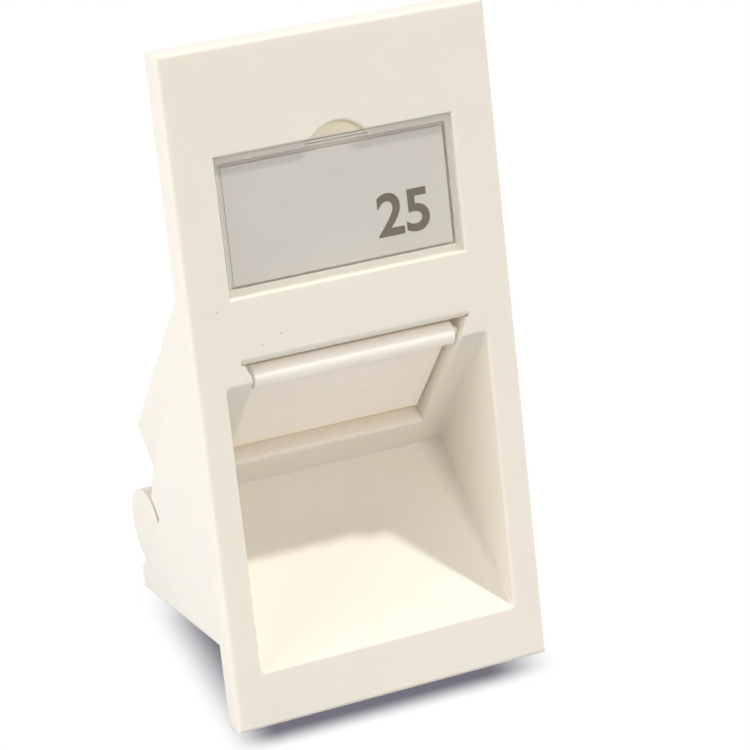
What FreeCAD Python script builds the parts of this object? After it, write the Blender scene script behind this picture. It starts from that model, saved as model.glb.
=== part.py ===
"""Angled 25 x 50 mm snap-in keystone frame with a sprung shutter, upright as it is mounted.

X runs to the right, Y into the wall and Z up. The origin is the centre of the plate's back face,
which seats on the rim of the mounting frame. All sizes are in millimetres.

The frame panel behind the recess leans by PANEL_LEAN. Its own section coordinates are
s, the distance behind the panel's front surface, and t, the distance down along that surface
from the line where it meets the front face.
"""
import FreeCAD, Part
import math
import os

# Front plate
PLATE_WIDTH = 25.0
PLATE_HEIGHT = 50.0
PLATE_THICKNESS = 2.0
PLATE_EDGE_RADIUS = 0.3

# Recess that lets the cable hang down at an angle
RECESS_SIDE_BORDER = 2.25
RECESS_BOTTOM_BORDER = 4.1625
RECESS_TOP = 0.8
RECESS_EDGE_RADIUS = 0.2
RECESS_CORNER_RADIUS = 0.3
PANEL_LEAN = math.radians(45.0)
FLOOR_THICKNESS = 1.4

# Cheeks on both sides of the recess
CHEEK_INSET = 0.15
CHEEK_BACK = 3.6
CHEEK_BOTTOM = -18.8
CHEEK_DEPTH = 16.3
CHEEK_HEEL = 1.4
CHEEK_STEP_ALONG = 17.9
CHEEK_TAPER_ALONG = 11.5
CHEEK_TAPER_BACK = 1.9
LUG_RADIUS = 3.0
LUG_INSET = 0.45
LUG_THICKNESS = 1.2
LUG_ALONG = 22.7
LUG_BACK = 1.9

# Opening in the panel that the shutter closes
APERTURE_WIDTH = 16.1
APERTURE_LENGTH = 11.9
POCKET_DEPTH = 2.0
APERTURE_EDGE_RADIUS = 0.35
NOTCH_HEIGHT = 1.3
NOTCH_SIDE_LOW = 0.15
NOTCH_SIDE_HIGH = 0.9
NOTCH_EDGE_RADIUS = 0.6

# Shutter
SHUTTER_FRONT = 1.0
SHUTTER_THICKNESS = 0.85
SHUTTER_SIDE_GAP = 0.3
SHUTTER_END_GAP = 0.7
SHUTTER_EDGE_RADIUS = 0.2
BARREL_RADIUS = 0.85
BARREL_ALONG = 0.9
BARREL_END_GAP = 0.15
BARREL_BLEND_RADIUS = 0.5
PIN_RADIUS = 0.4
PIN_LENGTH = 2.6
PIN_END_GAP = 0.15
PIN_CLEARANCE = 0.05
SHUTTER_SWING = math.radians(105.0)
STOP_KEY_REACH = 0.95
STOP_KEY_REST = math.radians(40.0)
STOP_KEY_THICKNESS = 0.4
STOP_KEY_WIDTH = 0.8
STOP_CLEARANCE = 0.06

# Return spring on the right-hand pin
WIRE_RADIUS = 0.1
COIL_RADIUS = 0.57
COIL_TURNS = 2
COIL_PITCH = 0.3
LEG_BEND_RADIUS = 0.12
SPRING_LEG = 0.45
SPRING_CLEARANCE = 0.08

# Keystone port and the well behind it
PORT_WIDTH = 14.8
PORT_LENGTH = 16.3
PORT_ABOVE = 0.6
PORT_RIM = 1.5
PLUG_WIDTH = 13.0
PLUG_TOP = 2.0
STOP_WALL = 0.7
WELL_WALL = 1.9
WELL_BACK = 11.0
HOOK_GROOVE = 1.3
HOOK_LIP = 1.5
LATCH_ROOM = 5.8
LATCH_LEDGE = 1.2
LATCH_LEDGE_FROM = 8.4
LATCH_LEDGE_FLAT = 0.6
WELL_RELIEF_WIDTH = 8.0
WELL_RELIEF_DEPTH = 3.2

# Label window
WINDOW_WIDTH = 18.3
WINDOW_HEIGHT = 10.15
WINDOW_CENTRE = 12.15
WINDOW_EDGE_RADIUS = 0.18
WINDOW_RIM = 1.2
WINDOW_FLOOR = 1.1
COVER_THICKNESS = 0.5
COVER_CLEARANCE = 0.08
COVER_BEVEL = 0.2
COVER_SUNK = 0.05
LEDGE_SIDE = 0.45
LEDGE_END = 0.55
CARD_THICKNESS = 0.5
CARD_SLACK = 0.04
CARD_GAP_TOP = 0.3
CARD_GAP_RIGHT = 0.25
CARD_GAP_BOTTOM = 0.2
CARD_GAP_LEFT = 0.06
THUMB_NOTCH_WIDTH = 4.2
THUMB_NOTCH_HEIGHT = 1.0
THUMB_NOTCH_DEPTH = 0.7
THUMB_NOTCH_CENTRE = 0.3

# Snap fit into the mounting frame
RIM_GRIP = 2.2
LATCH_TONGUE_WIDTH = 8.0
LATCH_TONGUE_THICKNESS = 1.2
LATCH_TONGUE_LENGTH = 8.5
LATCH_TONGUE_TOP = 20.0
LATCH_TOOTH = 0.9
LATCH_TOOTH_FLAT = 0.5
LATCH_TOOTH_RAMP = 2.6
RIM_EDGE = -20.9
HOOK_SPREAD = 10.0
HOOK_WIDTH = 1.6
HOOK_LENGTH = 5.0
HOOK_TOOTH = 0.8
HOOK_TOOTH_RAMP = 1.8

# Sizes that follow from those above
FACE = -PLATE_THICKNESS
OVERCUT = 1.0
TOUCH = 1e-6
PANEL_AXIS_Y = math.cos(PANEL_LEAN)
PANEL_AXIS_Z = math.sin(PANEL_LEAN)
RECESS_WIDTH = PLATE_WIDTH - 2 * RECESS_SIDE_BORDER
PANEL_LENGTH = (PLATE_HEIGHT / 2 + RECESS_TOP - RECESS_BOTTOM_BORDER) * PANEL_AXIS_Z
APERTURE_HALF = APERTURE_WIDTH / 2
NOTCH_WIDTH_LOW = APERTURE_WIDTH + 2 * NOTCH_SIDE_LOW
NOTCH_WIDTH_HIGH = APERTURE_WIDTH + 2 * NOTCH_SIDE_HIGH
SHUTTER_WIDTH = APERTURE_WIDTH - 2 * SHUTTER_SIDE_GAP
BARREL_LENGTH = APERTURE_WIDTH - 2 * BARREL_END_GAP
PIN_TIP = BARREL_LENGTH / 2 + PIN_LENGTH
PORT_BELOW = PORT_LENGTH - PORT_ABOVE
WELL_TOP = -PORT_ABOVE - HOOK_GROOVE - WELL_WALL
WELL_BOTTOM = PORT_BELOW + LATCH_ROOM + WELL_WALL
WELL_WIDTH = PORT_WIDTH + 2 * WELL_WALL
COIL_POCKET_RADIUS = COIL_RADIUS + WIRE_RADIUS + SPRING_CLEARANCE
COIL_LENGTH = COIL_TURNS * COIL_PITCH


def on_panel(s, t):
    """Y and Z of a point s behind the panel's front surface and t down along it."""
    y = FACE + s * PANEL_AXIS_Z + t * PANEL_AXIS_Y
    z = RECESS_TOP + s * PANEL_AXIS_Y - t * PANEL_AXIS_Z
    return y, z


def prism(section, x_low, x_high):
    """A straight prism between two X planes, from a closed section of Y and Z points."""
    corners = [FreeCAD.Vector(x_low, y, z) for y, z in section]
    face = Part.Face(Part.makePolygon(corners + corners[:1]))
    return face.extrude(FreeCAD.Vector(x_high - x_low, 0, 0))


def middle_prism(section, width):
    """A prism of the given width, centred on the middle plane."""
    return prism(section, -width / 2, width / 2)


def panel_block(s_low, s_high, t_low, t_high, width):
    """A centred block whose faces follow the leaning panel."""
    corners = [(s_low, t_low), (s_high, t_low), (s_high, t_high), (s_low, t_high)]
    return middle_prism([on_panel(s, t) for s, t in corners], width)


def upright_block(width, y_low, y_high, z_low, z_high):
    """A centred block whose faces follow the plate."""
    corner = FreeCAD.Vector(-width / 2, y_low, z_low)
    return Part.makeBox(width, y_high - y_low, z_high - z_low, corner)


def rod(radius, x_low, x_high, y, z):
    """A round rod along X."""
    start = FreeCAD.Vector(x_low, y, z)
    return Part.makeCylinder(radius, x_high - x_low, start, FreeCAD.Vector(1, 0, 0))


def mirrored(solid):
    """The same solid on the other side of the middle plane."""
    return solid.mirror(FreeCAD.Vector(0, 0, 0), FreeCAD.Vector(1, 0, 0))


def fused(solids):
    """One clean solid made of overlapping solids."""
    return solids[0].multiFuse(solids[1:]).removeSplitter()


def front_edges(solid, front):
    """The edges of a solid that lie on its front plane."""
    return [edge for edge in solid.Edges if edge.BoundBox.YMax < front + TOUCH]


def rim_edges(solid, half_width, z_low, z_high):
    """The edges of an opening in the front face, inside the given reach from the middle."""
    return [
        edge for edge in front_edges(solid, FACE)
        if edge.BoundBox.XMin > -half_width - TOUCH and edge.BoundBox.XMax < half_width + TOUCH
        and edge.BoundBox.ZMin > z_low - TOUCH and edge.BoundBox.ZMax < z_high + TOUCH
    ]


def plate():
    """The front plate with its rounded front edge."""
    slab = upright_block(PLATE_WIDTH, FACE, 0, -PLATE_HEIGHT / 2, PLATE_HEIGHT / 2)
    return slab.makeFillet(PLATE_EDGE_RADIUS, front_edges(slab, FACE))


def cheek_section():
    """Outline of a cheek: level bottom, heel, step for the lug and an edge along the panel."""
    rear = CHEEK_DEPTH
    back_edge_rise = on_panel(CHEEK_BACK, 0)[1] + on_panel(CHEEK_BACK, 0)[0] / math.tan(PANEL_LEAN)
    return [
        (FACE / 2, CHEEK_BOTTOM),
        (rear, CHEEK_BOTTOM),
        (rear, CHEEK_BOTTOM + CHEEK_HEEL),
        on_panel(0, CHEEK_STEP_ALONG),
        on_panel(CHEEK_TAPER_BACK, CHEEK_STEP_ALONG),
        on_panel(CHEEK_BACK, CHEEK_TAPER_ALONG),
        (0, back_edge_rise),
        (FACE / 2, back_edge_rise),
    ]


def cheek():
    """The left side wall of the recess, with the rounded lug at its back edge."""
    outside = -PLATE_WIDTH / 2 + CHEEK_INSET
    wall = prism(cheek_section(), outside, -RECESS_WIDTH / 2)
    lug_y, lug_z = on_panel(LUG_BACK, LUG_ALONG)
    lug = rod(LUG_RADIUS, outside + LUG_INSET, outside + LUG_INSET + LUG_THICKNESS, lug_y, lug_z)
    return wall.fuse(lug)


def recess_section():
    """Outline of the recess: top of the panel, the deep corner and the front end of the floor."""
    reach = PANEL_LENGTH / math.tan(PANEL_LEAN)
    return [on_panel(0, 0), on_panel(0, PANEL_LENGTH), on_panel(-reach, PANEL_LENGTH)]


def housing():
    """Floor and panel of the recess, closed by the cheeks, with the recess itself still solid."""
    reach = PANEL_LENGTH / math.tan(PANEL_LEAN)
    floor = panel_block(-reach, POCKET_DEPTH, PANEL_LENGTH, PANEL_LENGTH + FLOOR_THICKNESS, RECESS_WIDTH)
    panel = panel_block(0, POCKET_DEPTH + PORT_RIM, WELL_TOP, PANEL_LENGTH + FLOOR_THICKNESS, RECESS_WIDTH)
    core = middle_prism(recess_section(), RECESS_WIDTH)
    return [floor, panel, core, cheek(), mirrored(cheek())]


def well():
    """The tube behind the panel that holds the jack."""
    return panel_block(POCKET_DEPTH, WELL_BACK, WELL_TOP, WELL_BOTTOM, WELL_WIDTH)


def window_rim():
    """The thickening behind the plate that carries the floor of the label window."""
    width = WINDOW_WIDTH + 2 * WINDOW_RIM
    half = WINDOW_HEIGHT / 2 + WINDOW_RIM
    back = FACE + window_depth() + WINDOW_FLOOR
    return upright_block(width, FACE / 2, back, WINDOW_CENTRE - half, WINDOW_CENTRE + half)


def ledge_depth():
    """Depth of the ledge that the window cover rests on, from the front face."""
    return COVER_SUNK + COVER_THICKNESS


def window_depth():
    """Depth of the card's tray from the front face."""
    return ledge_depth() + CARD_SLACK + CARD_THICKNESS


def snap_tongue():
    """The springy tongue that catches behind the top of the mounting frame's rim."""
    top = LATCH_TONGUE_TOP
    low = top - LATCH_TONGUE_THICKNESS
    tooth_back = RIM_GRIP + LATCH_TOOTH_FLAT
    section = [
        (FACE / 2, low),
        (LATCH_TONGUE_LENGTH, low),
        (LATCH_TONGUE_LENGTH, top),
        (tooth_back + LATCH_TOOTH_RAMP, top),
        (tooth_back, top + LATCH_TOOTH),
        (RIM_GRIP, top + LATCH_TOOTH),
        (RIM_GRIP, top),
        (FACE / 2, top),
    ]
    return middle_prism(section, LATCH_TONGUE_WIDTH)


def bottom_hook():
    """A stiff hooked rib under the floor that tucks behind the bottom of the rim."""
    tooth_low = RIM_EDGE - HOOK_TOOTH
    section = [
        (RIM_GRIP, inside_floor(RIM_GRIP)),
        (RIM_GRIP, tooth_low),
        (HOOK_LENGTH - HOOK_TOOTH_RAMP, tooth_low),
        (HOOK_LENGTH, RIM_EDGE),
        (HOOK_LENGTH, inside_floor(HOOK_LENGTH)),
    ]
    x_low = HOOK_SPREAD / 2 - HOOK_WIDTH / 2
    return prism(section, x_low, x_low + HOOK_WIDTH)


def inside_floor(y):
    """Height of the middle of the recess floor's thickness at depth y."""
    t = PANEL_LENGTH + FLOOR_THICKNESS / 2
    s = (y - FACE - t * PANEL_AXIS_Y) / PANEL_AXIS_Z
    return on_panel(s, t)[1]


def leaning_edges(solid, half_width):
    """The edges of a centred solid that lean with the panel or the floor, at its two sides."""
    found = []
    for edge in solid.Edges:
        box = edge.BoundBox
        at_side = box.XLength < TOUCH and abs(box.XMax) > half_width - TOUCH
        if at_side and box.YLength > OVERCUT + TOUCH and box.ZLength > OVERCUT:
            found.append(edge)
    return found


def recess_cut():
    """The open wedge in front of the panel and the floor."""
    section = recess_section()
    bottom = section[2][1]
    section.append((FACE - OVERCUT, bottom))
    section.append((FACE - OVERCUT, RECESS_TOP))
    wedge = middle_prism(section, RECESS_WIDTH)
    return wedge.makeFillet(RECESS_CORNER_RADIUS, leaning_edges(wedge, RECESS_WIDTH / 2))


def pocket_cut():
    """The shutter's pocket in the panel, with a rounded rim at its sides and its lower end."""
    r = APERTURE_EDGE_RADIUS
    pocket = panel_block(-OVERCUT, POCKET_DEPTH, 0, APERTURE_LENGTH, APERTURE_WIDTH)
    rim = panel_block(-OVERCUT, r, 0, APERTURE_LENGTH + r, APERTURE_WIDTH + 2 * r)
    start = FreeCAD.Vector(APERTURE_HALF + r, *on_panel(r, -OVERCUT))
    down = FreeCAD.Vector(0, PANEL_AXIS_Y, -PANEL_AXIS_Z)
    side = Part.makeCylinder(r, APERTURE_LENGTH + 2 * OVERCUT, start, down)
    low = rod(r, -APERTURE_WIDTH, APERTURE_WIDTH, *on_panel(r, APERTURE_LENGTH + r))
    for rounding in (side, mirrored(side), low):
        rim = rim.cut(rounding)
    return pocket.fuse(rim)


def notch_cut():
    """The notch above the recess where the barrel of the shutter shows."""
    top = RECESS_TOP + NOTCH_HEIGHT
    behind = FACE + POCKET_DEPTH / PANEL_AXIS_Z
    slope = PANEL_AXIS_Z / PANEL_AXIS_Y
    section = [
        (FACE - OVERCUT, RECESS_TOP - OVERCUT),
        (behind + OVERCUT / slope, RECESS_TOP - OVERCUT),
        (behind - NOTCH_HEIGHT / slope, top),
        (FACE - OVERCUT, top),
    ]
    side_slope = (NOTCH_WIDTH_HIGH - NOTCH_WIDTH_LOW) / (NOTCH_HEIGHT + NOTCH_EDGE_RADIUS)
    return middle_prism(section, NOTCH_WIDTH_HIGH).common(notch_outline(side_slope))


def notch_outline(side_slope):
    """The notch seen from the front: wider at its top than at its bottom."""
    low = RECESS_TOP - OVERCUT
    high = RECESS_TOP + NOTCH_HEIGHT + NOTCH_EDGE_RADIUS
    half_low = NOTCH_WIDTH_LOW / 2
    half_high = NOTCH_WIDTH_HIGH / 2
    half_start = half_low - side_slope * OVERCUT / 2
    corners = [(-half_start, low), (half_start, low), (half_high, high), (-half_high, high)]
    points = [FreeCAD.Vector(x, FACE - 2 * OVERCUT, z) for x, z in corners]
    outline = Part.Face(Part.makePolygon(points + points[:1]))
    return outline.extrude(FreeCAD.Vector(0, PLATE_THICKNESS + POCKET_DEPTH + 4 * OVERCUT, 0))


def notch_rounding():
    """The material taken off the upper front edge of the notch to round it."""
    r = NOTCH_EDGE_RADIUS
    edge_z = RECESS_TOP + NOTCH_HEIGHT
    x = -NOTCH_WIDTH_HIGH / 2
    corner = FreeCAD.Vector(x, FACE, edge_z)
    upper = FreeCAD.Vector(x, FACE, edge_z + r)
    inner = FreeCAD.Vector(x, FACE + r, edge_z)
    bend = r - r / math.sqrt(2)
    middle = FreeCAD.Vector(x, FACE + bend, edge_z + bend)
    lines = [Part.LineSegment(corner, upper).toShape(), Part.Arc(upper, middle, inner).toShape()]
    lines.append(Part.LineSegment(inner, corner).toShape())
    section = Part.Face(Part.Wire(lines))
    return section.extrude(FreeCAD.Vector(NOTCH_WIDTH_HIGH, 0, 0))


def barrel_axis():
    """Y and Z of the shutter's hinge axis."""
    return on_panel(SHUTTER_FRONT, BARREL_ALONG)


def bearing_cuts():
    """The two pin sockets, the spring's pocket and the pocket that stops the swing."""
    y, z = barrel_axis()
    radius = PIN_RADIUS + PIN_CLEARANCE
    tip = PIN_TIP + PIN_END_GAP
    side_room = WIRE_RADIUS + SPRING_CLEARANCE
    coil_from = coil_start() - side_room
    coil_to = coil_start() + COIL_LENGTH + side_room
    inner = APERTURE_HALF - OVERCUT
    cuts = [rod(radius, -tip, -inner, y, z), rod(radius, inner, tip, y, z)]
    cuts.append(rod(COIL_POCKET_RADIUS, coil_from, coil_to, y, z))
    cuts.append(stop_pocket())
    cuts.append(spring_anchor_hole())
    return cuts


def from_axis(angle, reach):
    """Y and Z of a point at a distance from the hinge axis, at an angle turned back from upright."""
    y, z = barrel_axis()
    return y + reach * math.sin(angle), z + reach * math.cos(angle)


def key_section(angle, reach, thickness):
    """A narrow bar that reaches out from the hinge axis."""
    y, z = barrel_axis()
    half = thickness / 2
    across_y = half * math.cos(angle)
    across_z = -half * math.sin(angle)
    tip_y, tip_z = from_axis(angle, reach)
    return [
        (y - across_y, z - across_z),
        (tip_y - across_y, tip_z - across_z),
        (tip_y + across_y, tip_z + across_z),
        (y + across_y, z + across_z),
    ]


def stop_pocket():
    """The fan-shaped pocket in which the shutter's key turns between its two stops."""
    reach = STOP_KEY_REACH + STOP_CLEARANCE
    thickness = STOP_KEY_THICKNESS + 2 * STOP_CLEARANCE
    x_low = -APERTURE_HALF - STOP_KEY_WIDTH - STOP_CLEARANCE
    x_high = -APERTURE_HALF + OVERCUT / 2
    open_angle = STOP_KEY_REST + SHUTTER_SWING
    first = prism(key_section(STOP_KEY_REST, reach, thickness), x_low, x_high)
    last = prism(key_section(open_angle, reach, thickness), x_low, x_high)
    points = [FreeCAD.Vector(x_low, *barrel_axis())]
    for angle in (STOP_KEY_REST, STOP_KEY_REST + SHUTTER_SWING / 2, open_angle):
        points.append(FreeCAD.Vector(x_low, *from_axis(angle, reach)))
    axis, start, middle, end = points
    edges = [Part.LineSegment(axis, start), Part.Arc(start, middle, end), Part.LineSegment(end, axis)]
    fan = Part.Face(Part.Wire([edge.toShape() for edge in edges]))
    fan = fan.extrude(FreeCAD.Vector(x_high - x_low, 0, 0))
    return first.fuse(fan).fuse(last)


def port_cuts():
    """The plug's opening, the jack's port, the groove for its hook and the room for its latch."""
    plug = panel_block(POCKET_DEPTH - OVERCUT / 2, WELL_BACK, PLUG_TOP, APERTURE_LENGTH, PLUG_WIDTH)
    jack_front = POCKET_DEPTH + STOP_WALL
    port = panel_block(jack_front, WELL_BACK + OVERCUT, -PORT_ABOVE, PORT_BELOW, PORT_WIDTH)
    rim_back = POCKET_DEPTH + PORT_RIM
    groove = panel_block(rim_back, WELL_BACK - HOOK_LIP, -PORT_ABOVE - HOOK_GROOVE, 0, PORT_WIDTH)
    latch_low = PORT_BELOW + LATCH_ROOM
    latch = panel_block(rim_back, WELL_BACK + OVERCUT, PORT_BELOW - OVERCUT, latch_low, PORT_WIDTH)
    relief_low = WELL_BOTTOM - WELL_WALL - OVERCUT
    relief = panel_block(WELL_BACK - WELL_RELIEF_DEPTH, WELL_BACK + OVERCUT, WELL_TOP - OVERCUT,
                         -PORT_ABOVE, WELL_RELIEF_WIDTH)
    slot = panel_block(WELL_BACK - WELL_RELIEF_DEPTH / 2, WELL_BACK + OVERCUT, relief_low,
                       WELL_BOTTOM + OVERCUT, WELL_RELIEF_WIDTH)
    return [plug, port, groove, latch, relief, slot]


def latch_ledge():
    """The ramped ledge inside the well that the jack's latch snaps behind."""
    wall = PORT_BELOW + LATCH_ROOM
    sections = [
        (LATCH_LEDGE_FROM, wall + WELL_WALL / 2),
        (LATCH_LEDGE_FROM, wall - LATCH_LEDGE),
        (LATCH_LEDGE_FROM + LATCH_LEDGE_FLAT, wall - LATCH_LEDGE),
        (WELL_BACK, wall),
        (WELL_BACK, wall + WELL_WALL / 2),
    ]
    return middle_prism([on_panel(s, t) for s, t in sections], PORT_WIDTH + WELL_WALL)


def window_cut():
    """The pocket of the label window with the card's deeper tray, and the thumb notch above it."""
    ledge = FACE + ledge_depth()
    half = WINDOW_HEIGHT / 2
    pocket = upright_block(WINDOW_WIDTH, FACE - OVERCUT, ledge, WINDOW_CENTRE - half, WINDOW_CENTRE + half)
    half -= LEDGE_END
    tray = upright_block(WINDOW_WIDTH - 2 * LEDGE_SIDE, FACE - OVERCUT, FACE + window_depth(),
                         WINDOW_CENTRE - half, WINDOW_CENTRE + half)
    return pocket.fuse(tray).fuse(thumb_notch())


def thumb_notch():
    """A half-moon scoop that lets a thumbnail lift the window cover."""
    radius = (THUMB_NOTCH_WIDTH ** 2 / 4 + THUMB_NOTCH_HEIGHT ** 2) / (2 * THUMB_NOTCH_HEIGHT)
    centre_z = WINDOW_CENTRE + WINDOW_HEIGHT / 2 + THUMB_NOTCH_HEIGHT - radius
    start = FreeCAD.Vector(THUMB_NOTCH_CENTRE, FACE - OVERCUT, centre_z)
    disc = Part.makeCylinder(radius, OVERCUT + THUMB_NOTCH_DEPTH, start, FreeCAD.Vector(0, 1, 0))
    band = upright_block(PLATE_WIDTH, FACE - OVERCUT, 0, WINDOW_CENTRE, WINDOW_CENTRE + PLATE_HEIGHT)
    return disc.common(band)


def frame_body():
    """The moulding that carries everything: plate, recess, well and snap fits."""
    snap_fit = [snap_tongue(), bottom_hook(), mirrored(bottom_hook())]
    body = fused([plate()] + housing() + [well(), window_rim()] + snap_fit)
    in_front = upright_block(2 * PLATE_WIDTH, FACE - PLATE_HEIGHT, FACE, -PLATE_HEIGHT, PLATE_HEIGHT)
    body = body.cut(in_front)
    body = round_recess(body.cut(recess_cut()))
    openings = [pocket_cut(), notch_cut(), notch_rounding(), window_cut()]
    for cut in openings + port_cuts() + bearing_cuts():
        body = body.cut(cut)
    return round_window(body.fuse(latch_ledge()).removeSplitter())


def round_recess(body):
    """The body with the rim of the recess rounded at the front face."""
    rim = rim_edges(body, RECESS_WIDTH / 2, -PLATE_HEIGHT / 2, RECESS_TOP)
    return body.makeFillet(RECESS_EDGE_RADIUS, rim)


def round_window(body):
    """The body with the rim of the label window and its thumb notch rounded at the front face."""
    half = WINDOW_HEIGHT / 2
    window_top = WINDOW_CENTRE + half + THUMB_NOTCH_HEIGHT
    rim = rim_edges(body, WINDOW_WIDTH / 2, WINDOW_CENTRE - half, window_top)
    return body.makeFillet(WINDOW_EDGE_RADIUS, rim)


def shutter_flap():
    """The flap with the barrel along its top edge, two pins and the stop key."""
    y, z = barrel_axis()
    back = SHUTTER_FRONT + SHUTTER_THICKNESS
    end = APERTURE_LENGTH - SHUTTER_END_GAP
    panel = panel_block(SHUTTER_FRONT, back, BARREL_ALONG, end, SHUTTER_WIDTH)
    low_edges = [e for e in panel.Edges if along_panel(e.CenterOfMass) > end - TOUCH]
    front_or_back = [e for e in low_edges if e.Length > SHUTTER_WIDTH - TOUCH]
    panel = panel.makeFillet(SHUTTER_EDGE_RADIUS, front_or_back)
    barrel = rod(BARREL_RADIUS, -BARREL_LENGTH / 2, BARREL_LENGTH / 2, y, z)
    pins = rod(PIN_RADIUS, -PIN_TIP, PIN_TIP, y, z)
    key_from = -APERTURE_HALF - STOP_KEY_WIDTH
    key = prism(key_section(STOP_KEY_REST, STOP_KEY_REACH, STOP_KEY_THICKNESS), key_from, -BARREL_LENGTH / 2)
    blended = blend_barrel(panel.fuse(barrel).removeSplitter())
    flap = fused([blended, pins, key])
    return flap.cut(spring_drive_hole())


def blend_barrel(flap):
    """The flap with the hollow corner between its barrel and its front filled to a soft curve."""
    corner = BARREL_ALONG + BARREL_RADIUS
    found = []
    for edge in flap.Edges:
        middle = edge.CenterOfMass
        on_front = abs(behind_panel(middle) - SHUTTER_FRONT) < TOUCH
        in_corner = on_front and abs(along_panel(middle) - corner) < TOUCH
        if in_corner and edge.Length > SHUTTER_WIDTH - TOUCH:
            found.append(edge)
    return flap.makeFillet(BARREL_BLEND_RADIUS, found)


def behind_panel(point):
    """Distance s of a point behind the panel's front surface."""
    return (point.y - FACE) * PANEL_AXIS_Z + (point.z - RECESS_TOP) * PANEL_AXIS_Y


def along_panel(point):
    """Distance t of a point down along the panel."""
    return (point.y - FACE) * PANEL_AXIS_Y - (point.z - RECESS_TOP) * PANEL_AXIS_Z


def spring_drive_hole():
    """The cross hole in the right pin that takes the spring's inner leg."""
    y, z = barrel_axis()
    radius = WIRE_RADIUS + SPRING_CLEARANCE / 2
    low = z + COIL_RADIUS - LEG_BEND_RADIUS - SPRING_LEG - SPRING_CLEARANCE
    start = FreeCAD.Vector(coil_start(), y - LEG_BEND_RADIUS, low)
    return Part.makeCylinder(radius, z + COIL_RADIUS - low, start)


def spring_anchor_hole():
    """The hole above the spring's pocket that takes the outer leg."""
    y, z = barrel_axis()
    radius = WIRE_RADIUS + SPRING_CLEARANCE / 2
    start = FreeCAD.Vector(coil_start() + COIL_LENGTH, y + LEG_BEND_RADIUS, z)
    height = COIL_RADIUS + LEG_BEND_RADIUS + SPRING_LEG + SPRING_CLEARANCE
    return Part.makeCylinder(radius, height, start)


def coil_start():
    """X of the first end of the coil's wire, to the right of the notch."""
    return NOTCH_WIDTH_HIGH / 2 + SPRING_CLEARANCE + WIRE_RADIUS


def wire_section(point, along):
    """The round section of the spring's wire at a point."""
    return Part.Face(Part.Wire(Part.makeCircle(WIRE_RADIUS, point, along)))


def half_turn(index):
    """One half turn of the coil: half a ring that leans by half a pitch."""
    y, z = barrel_axis()
    side = 1 if index % 2 == 0 else -1
    start = FreeCAD.Vector(coil_start() + index * COIL_PITCH / 2, y, z + side * COIL_RADIUS)
    end = FreeCAD.Vector(start.x + COIL_PITCH / 2, y, z - side * COIL_RADIUS)
    centre = (start + end) / 2
    along = FreeCAD.Vector(0, side, 0)
    return wire_section(start, along).revolve(centre, (start - centre).cross(along), 180)


def drive_leg():
    """The bend and the straight end that reach down into the pin."""
    y, z = barrel_axis()
    start = FreeCAD.Vector(coil_start(), y, z + COIL_RADIUS)
    centre = start - FreeCAD.Vector(0, 0, LEG_BEND_RADIUS)
    bend = wire_section(start, FreeCAD.Vector(0, 1, 0)).revolve(centre, FreeCAD.Vector(1, 0, 0), 90)
    end = centre - FreeCAD.Vector(0, LEG_BEND_RADIUS, 0)
    return [bend, Part.makeCylinder(WIRE_RADIUS, SPRING_LEG, end - FreeCAD.Vector(0, 0, SPRING_LEG))]


def anchor_leg():
    """The bend and the straight end that reach up into the moulding."""
    y, z = barrel_axis()
    start = FreeCAD.Vector(coil_start() + COIL_LENGTH, y, z + COIL_RADIUS)
    centre = start + FreeCAD.Vector(0, 0, LEG_BEND_RADIUS)
    bend = wire_section(start, FreeCAD.Vector(0, 1, 0)).revolve(centre, FreeCAD.Vector(1, 0, 0), 90)
    end = centre + FreeCAD.Vector(0, LEG_BEND_RADIUS, 0)
    return [bend, Part.makeCylinder(WIRE_RADIUS, SPRING_LEG, end)]


def return_spring():
    """The small torsion spring round the right-hand pin that holds the shutter closed."""
    coil = [half_turn(index) for index in range(2 * COIL_TURNS)]
    spring = coil[0]
    for piece in coil[1:] + drive_leg() + anchor_leg():
        spring = spring.fuse(piece)
    return spring


def window_cover():
    """The clear cover of the label window, with bevelled front edges."""
    width = WINDOW_WIDTH - 2 * COVER_CLEARANCE
    half = WINDOW_HEIGHT / 2 - COVER_CLEARANCE
    front = FACE + COVER_SUNK
    slab = upright_block(width, front, front + COVER_THICKNESS, WINDOW_CENTRE - half, WINDOW_CENTRE + half)
    return slab.makeChamfer(COVER_BEVEL, front_edges(slab, front))


def label_card():
    """The card behind the cover, which lies low and to the left in its tray."""
    half_width = WINDOW_WIDTH / 2 - LEDGE_SIDE
    half_height = WINDOW_HEIGHT / 2 - LEDGE_END
    x_low = -half_width + CARD_GAP_LEFT
    z_low = WINDOW_CENTRE - half_height + CARD_GAP_BOTTOM
    width = half_width - CARD_GAP_RIGHT - x_low
    height = WINDOW_CENTRE + half_height - CARD_GAP_TOP - z_low
    front = FACE + window_depth() - CARD_THICKNESS
    return Part.makeBox(width, CARD_THICKNESS, height, FreeCAD.Vector(x_low, front, z_low))


def main():
    """Build each piece and write it to its own file."""
    pieces = {
        "frame_body": frame_body(),
        "shutter_flap": shutter_flap(),
        "return_spring": return_spring(),
        "window_cover": window_cover(),
        "label_card": label_card(),
    }
    os.makedirs("parts", exist_ok=True)
    for name, shape in pieces.items():
        shape.exportStep(f"parts/{name}.step")
        print(name, shape.isValid(), len(shape.Solids), round(shape.Volume, 3))


if __name__ == "__main__":
    main()
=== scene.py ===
"""The finished look of the angled snap-in keystone frame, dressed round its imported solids.

Lengths are in metres, in the frame of the solids: X to the right, Y into the wall and Z up, with the
origin at the centre of the plate's back face. A size written in millimetres is multiplied by MM.
The recess has its own section coordinates: s, the distance behind the leaning panel's front
surface, and t, the distance down along it from the line where it meets the front face.
"""
import logging
import math
from dataclasses import dataclass
from enum import Enum
from typing import Any

import bpy
from mathutils import Euler, Matrix, Vector


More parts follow.
